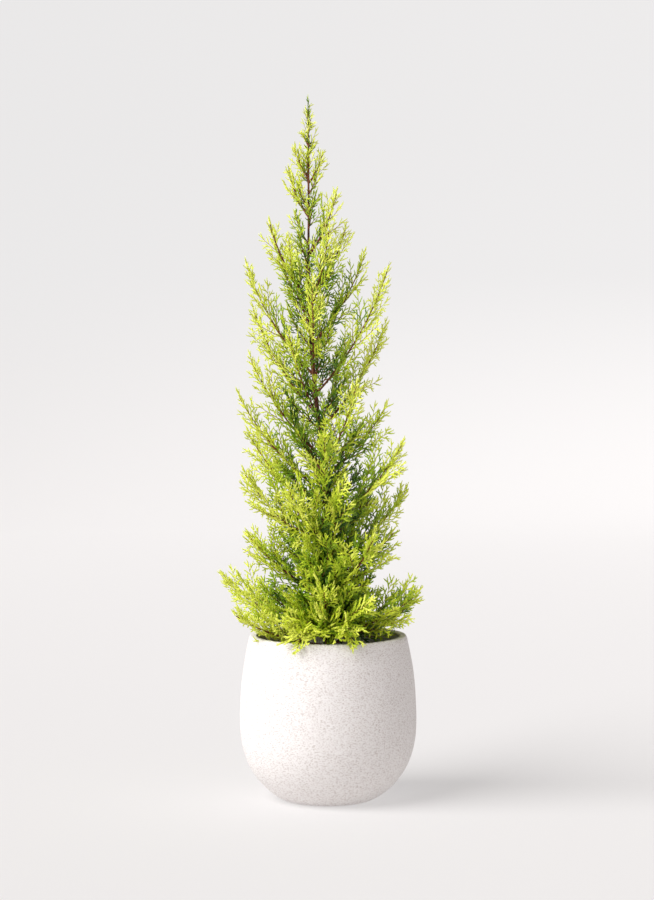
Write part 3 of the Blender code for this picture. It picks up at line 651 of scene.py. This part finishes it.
def rodPattern(shares):
    rows, faces = [], [(0, 2, 1)]
    for share, radius in shares:
        for corner in range(3):
            turn = math.tau * corner / 3
            rows.append((share, 0.0, radius * math.cos(turn), radius * math.sin(turn)))
    for ring in range(len(shares) - 1):
        for corner in range(3):
            low, after = 3 * ring + corner, 3 * ring + (corner + 1) % 3
            faces += [(low, after, after + 3), (low, after + 3, low + 3)]
    top = len(rows) - 3
    return np.array(rows), np.array(faces + [(top, top + 1, top + 2)])


twigs = growTwigs()


def outerShare(point):  # 0 at the trunk, 1 at the outline
    centre = axisPoint(point.z)
    left, right, depth = (float(value) for value in outline(point.z))
    wide = right - centre.x if point.x > centre.x else left + centre.x
    return min(math.hypot((point.x - centre.x) / wide, (point.y - centre.y) / depth), 1.2)


def makeTwigs(name, chosen, colour):
    roots, heads, spans = (np.array([list(twig[key]) if key != 5 else twig[key] for twig in chosen])
                           for key in (2, 3, 5))
    rows, faces = rodPattern(twigRule["rodShares"])
    widths = twigRule["radius"] * np.clip(spans / twigRule["fullSpan"], *twigRule["widths"])
    vertices, joined = placePattern(rows, faces, roots, heads, spans, widths, twigRule["bend"])
    material, tree, shader = newMaterial(name + "Bark", colour, 0.7)
    return newPiece(name, vertices, joined, material, [], "bough_bark", 80)


# young wood: the thin bark of last year's twigs has turned orange brown, this year's is still green
innerTwigs = [twig for twig in twigs if outerShare(twig[2]) < twigRule["innerBelow"]]
outerTwigs = [twig for twig in twigs if outerShare(twig[2]) >= twigRule["innerBelow"]]
makeTwigs("innerTwigs", innerTwigs, "#74351c")
makeTwigs("outerTwigs", outerTwigs, "#93913a")
print("twigs made", len(twigs))

# Shoots with their needles

shootRule = {"every": 0.0064, "from": 0.10, "to": 0.94, "lengths": (0.46, 0.33), "jitter": 0.18, "least": 0.007,
             "most": 0.026, "spread": 38.0, "spreadJitter": 8.0, "tilt": 26.0, "rise": 0.12, "sideFrom": 0.016,
             "sidePlaces": (0.34, 0.60), "sideShare": 0.42, "endLength": 0.014, "stemEvery": 0.005,
             "stemFrom": 0.14, "stemTo": 0.97, "turn": 137.5, "stemLengths": (0.008, 0.015), "stemSpread": 42.0,
             "curl": 0.08, "slack": 0.008,
             "core": ((0.0, 0.0010), (0.6, 0.0013)), "needleHalf": 0.0010, "needleOut": 0.0021,
             "needleAhead": 0.0026, "needles": ((0.010, 5), (0.016, 7), (1.0, 9)),
             "widths": ((0.4, 1.08, 1.18), (1.05, 0.84, 0.62)), "stemLess": ((1.10, 1.18), (1.0, 0.62)),
             # toneOut darkens the needles inward: partly their own older green, partly painted shade inside the crown
             "needleFoot": 0.0004, "needleLess": 0.35, "point": 0.0008, "toneOut": 0.62, "toneUp": 0.30,
             # the lit-side tone is painted light: a lighter, yellower tone on the side the key light falls on
             "toneLitSide": 0.09, "toneHeights": (0.3, 1.2), "toneWidth": 0.15, "toneStray": 0.10, "toneTip": 0.15,
             "toneAlong": 0.22, "toneShoot": 0.08}
# cypress scale needles, waxy as they grew: yellow at the tips that had the sun, deep green inside; the deep and inner
# greens are darkened further as painted shade for the crown's shaded inside
shootColours = {"shootsDeep": "#3f6a14", "shootsInner": "#769c1c", "shootsMiddle": "#a0be22",
                "shootsOuter": "#c0d432", "shootsBright": "#d6e240", "shootsTips": "#e9f066"}


def shootPattern(count):  # share along the shoot, metres ahead, metres across both ways
    rule = shootRule
    rows, faces = [], [(0, 1, 4), (0, 4, 3), (1, 2, 5), (1, 5, 4), (2, 0, 3), (2, 3, 5),
                       (3, 4, 6), (4, 5, 6), (5, 3, 6), (0, 2, 1)]
    for share, radius in rule["core"]:
        for corner in range(3):
            turn = math.tau * corner / 3
            rows.append((share, 0.0, radius * math.cos(turn), radius * math.sin(turn)))
    rows.append((1.0, rule["point"], 0.0, 0.0))
    for needle in range(count):
        share = (needle + 0.5) / count
        turn = math.radians(rule["turn"] * needle)
        outX, outY = math.cos(turn), math.sin(turn)
        size = 1.0 - rule["needleLess"] * share
        first = len(rows)
        half, foot = rule["needleHalf"], rule["needleFoot"]
        for out, along, ahead in ((foot, -half, -half), (foot, half, -half), (foot, 0.0, half),
                                  (rule["needleOut"] * size, 0.0, rule["needleAhead"] * size)):
            rows.append((share, ahead, outX * out - outY * along, outY * out + outX * along))
        faces += [(first, first + 1, first + 3), (first + 1, first + 2, first + 3),
                  (first + 2, first, first + 3), (first, first + 2, first + 1)]
    return np.array(rows), np.array(faces)


def toneAt(point):  # from deep green to yellow: outward and upward, and lighter on the left, which is painted light where the key light falls
    rule = shootRule
    low, high = rule["toneHeights"]
    # painted light: needles on the key-lit left side get a lighter, yellower tone
    litSideShare = (axisPoint(point.z).x - point.x) / rule["toneWidth"]
    return (rule["toneOut"] * outerShare(point) + rule["toneUp"] * (point.z - low) / (high - low)
            + rule["toneLitSide"] * litSideShare)


def growShoots():
    rule = shootRule
    up = Vector((0, 0, 1))
    grown = []

    def add(root, heading, length, tone):
        grown.append((*root, *heading, length, tone))

    for plume, share, root, heading, lateral, span in twigs:
        key = plume.key + 0.37 * share
        normal = heading.cross(lateral)
        end = root + heading * span
        tone = toneAt(end) + rule["toneStray"] * scatter(key, 7)
        count = max(int(span * (rule["to"] - rule["from"]) / rule["every"]), 3)
        for step in range(count):
            along = rule["from"] + (rule["to"] - rule["from"]) * step / count
            length = span * (rule["lengths"][0] - rule["lengths"][1] * along)
            length *= 1.0 + rule["jitter"] * scatter(key, step, 8)
            length = min(max(length, rule["least"]), rule["most"])
            spread = math.radians(rule["spread"] + rule["spreadJitter"] * scatter(key, step, 9))
            tilt = math.radians(rule["tilt"] * scatter(key, step, 10))
            flat = (lateral * math.cos(tilt) + normal * math.sin(tilt)) * (1.0 if step % 2 else -1.0)
            direction = (heading * math.cos(spread) + flat * math.sin(spread) + up * rule["rise"]).normalized()
            place = root + heading * span * along + up * twigRule["bend"] * along * along * span
            shade = tone + rule["toneAlong"] * (along - 0.5) + rule["toneShoot"] * scatter(key, step, 11)
            add(place, direction, length, shade)
            if length > rule["sideFrom"]:
                for number, at in enumerate(rule["sidePlaces"]):
                    turn = math.radians(rule["spread"]) * (1.0 if number % 2 else -1.0)
                    aside = (direction * math.cos(turn) + direction.cross(normal) * math.sin(turn)).normalized()
                    add(place + direction * length * at, aside, length * rule["sideShare"], shade)
        back = min(rule["endLength"], 0.5 * span)
        add(end + up * twigRule["bend"] * span * 0.9 - heading * back, heading, back, tone + rule["toneTip"])
    for plume in plumes + fillers:
        count = int(plume.length * (rule["stemTo"] - rule["stemFrom"]) / rule["stemEvery"])
        for step in range(count):
            share = rule["stemFrom"] + (rule["stemTo"] - rule["stemFrom"]) * step / count
            stem = plume.heading(share)
            turn = math.radians(rule["turn"] * step)
            around = plume.across * math.cos(turn) + plume.across.cross(stem) * math.sin(turn)
            spread = math.radians(rule["stemSpread"])
            direction = (stem * math.cos(spread) + around * math.sin(spread)).normalized()
            length = float(np.interp(scatter(plume.key, step, 12), (-1, 1), rule["stemLengths"]))
            place = plume.point(share)
            length *= float(np.interp(place.z, *rule["stemLess"]))
            add(place, direction, length, toneAt(place))
    return np.array(grown)


def makeShoots():
    shoots = growShoots()
    roots, heads, lengths, tones = shoots[:, :3], shoots[:, 3:6], shoots[:, 6], shoots[:, 7]
    tips = roots + heads * (lengths + 0.001)[:, None]
    keep = inside(tips, shootRule["slack"]) & inside((roots + tips) / 2, shootRule["slack"])
    roots, heads, lengths, tones = roots[keep], heads[keep], lengths[keep], tones[keep]
    patterns = [shootPattern(count) for _, count in shootRule["needles"]]
    kinds = np.searchsorted([most for most, _ in shootRule["needles"]], lengths)
    sizes = np.array([len(faces) for _, faces in patterns])[kinds]
    order = np.argsort(tones, kind="stable")
    reached = np.cumsum(sizes[order])
    total = int(reached[-1])
    for number, (name, colour) in enumerate(shootColours.items()):
        pieces = len(shootColours)
        chosen = order[(reached > total * number / pieces) & (reached <= total * (number + 1) / pieces)]
        vertices, faces, start = [], [], 0
        for kind, (rows, patternFaces) in enumerate(patterns):
            these = chosen[kinds[chosen] == kind]
            if len(these) == 0:
                continue
            widths = np.interp(roots[these, 2], *shootRule["widths"])
            placed, joined = placePattern(rows, patternFaces, roots[these], heads[these], lengths[these], widths,
                                          shootRule["curl"])
            vertices.append(placed)
            faces.append(joined + start)
            start += len(placed)
        material, tree, shader = newMaterial("waxyNeedles" + name[6:], colour, 0.5)
        newPiece(name, np.concatenate(vertices), np.concatenate(faces), material, foliageNodes, "foliage")
    print("shoots made", len(lengths), "triangles", total)


makeShoots()

# Studio

studio = {"floorColour": "#a6a4a3", "floorGlow": "#b0afaf", "wallColour": "#403e3e", "wallGlow": "#e2e1e1",
          "wallRadius": 7.0, "coveRadius": 1.6, "wallHeight": 3.0, "segments": 96, "rings": (0.6, 2.0, 4.0),
          "worldColour": "#f7eaea", "worldStrength": 0.27, "keyFrom": (-0.80, -0.46, 0.72), "keyStrength": 4.2,
          "keyAngle": 50.0, "camera": (-0.002, -4.5, 0.864), "pitch": 3.21, "lens": 103.5, "sensor": 36.0}


def makeSweep():  # a round studio sweep: the floor turns up into a wall all about, so every view has it behind
    cove = [(studio["wallRadius"] - studio["coveRadius"] + studio["coveRadius"] * math.sin(turn),
             studio["coveRadius"] * (1.0 - math.cos(turn)))
            for turn in (math.radians(90.0 * step / 16) for step in range(17))]
    rows = [(radius, 0.0) for radius in studio["rings"]] + cove + [(studio["wallRadius"], studio["wallHeight"])]
    segments = studio["segments"]
    vertices = [(radius * math.cos(math.tau * s / segments), radius * math.sin(math.tau * s / segments), height)
                for radius, height in rows for s in range(segments)] + [(0.0, 0.0, 0.0)]
    faces = [(row * segments + s, (row + 1) * segments + s, (row + 1) * segments + (s + 1) % segments,
              row * segments + (s + 1) % segments) for row in range(len(rows) - 1) for s in range(segments)]
    faces += [(len(vertices) - 1, s, (s + 1) % segments) for s in range(segments)]
    mesh = bpy.data.meshes.new("studioSweep")
    mesh.from_pydata(vertices, [], faces)
    mesh.shade_smooth()
    material, tree, shader = newMaterial("mattPaintedSweep", studio["floorColour"], 0.95)
    place = addNode(tree, "ShaderNodeTexCoord", {}, {})
    height = addNode(tree, "ShaderNodeSeparateXYZ", {}, {"Vector": place.outputs["Object"]})
    tint = addNode(tree, "ShaderNodeValToRGB", {}, {"Fac": height.outputs["Z"]})
    for element, colour in zip(tint.color_ramp.elements, (studio["floorColour"], studio["wallColour"])):
        element.color = linear(colour)
    tree.links.new(tint.outputs["Color"], shader.inputs["Base Color"])
    glow = addNode(tree, "ShaderNodeValToRGB", {}, {"Fac": height.outputs["Z"]})
    for element, colour in zip(glow.color_ramp.elements, (studio["floorGlow"], studio["wallGlow"])):
        element.color = linear(colour)
    tree.links.new(glow.outputs["Color"], shader.inputs["Emission Color"])  # lit evenly from behind
    shader.inputs["Emission Strength"].default_value = 1.0
    mesh.materials.append(material)
    sweep = bpy.data.objects.new("studioSweep", mesh)
    bpy.context.scene.collection.objects.link(sweep)


def makeLight():
    world = bpy.context.scene.world or bpy.data.worlds.new("studioWorld")
    bpy.context.scene.world = world
    world.use_nodes = True
    bpy.context.scene.view_settings.view_transform = "Standard"  # a bright high-key picture, whites left white
    background = world.node_tree.nodes["Background"]
    background.inputs["Color"].default_value = linear(studio["worldColour"])
    background.inputs["Strength"].default_value = studio["worldStrength"]
    lamp = bpy.data.lights.new("keyLight", "SUN")
    lamp.energy = studio["keyStrength"]
    lamp.angle = math.radians(studio["keyAngle"])
    key = bpy.data.objects.new("keyLight", lamp)
    key.rotation_euler = Vector(studio["keyFrom"]).to_track_quat("Z", "Y").to_euler()
    bpy.context.scene.collection.objects.link(key)


def makeCamera():
    lens = bpy.data.cameras.new("photoCamera")
    lens.lens, lens.sensor_width = studio["lens"], studio["sensor"]
    camera = bpy.data.objects.new("photoCamera", lens)
    camera.location = studio["camera"]
    camera.rotation_euler = (math.radians(90.0 - studio["pitch"]), 0.0, 0.0)
    bpy.context.scene.collection.objects.link(camera)
    bpy.context.scene.camera = camera


makeSweep()
makeLight()
makeCamera()
print("studio made")
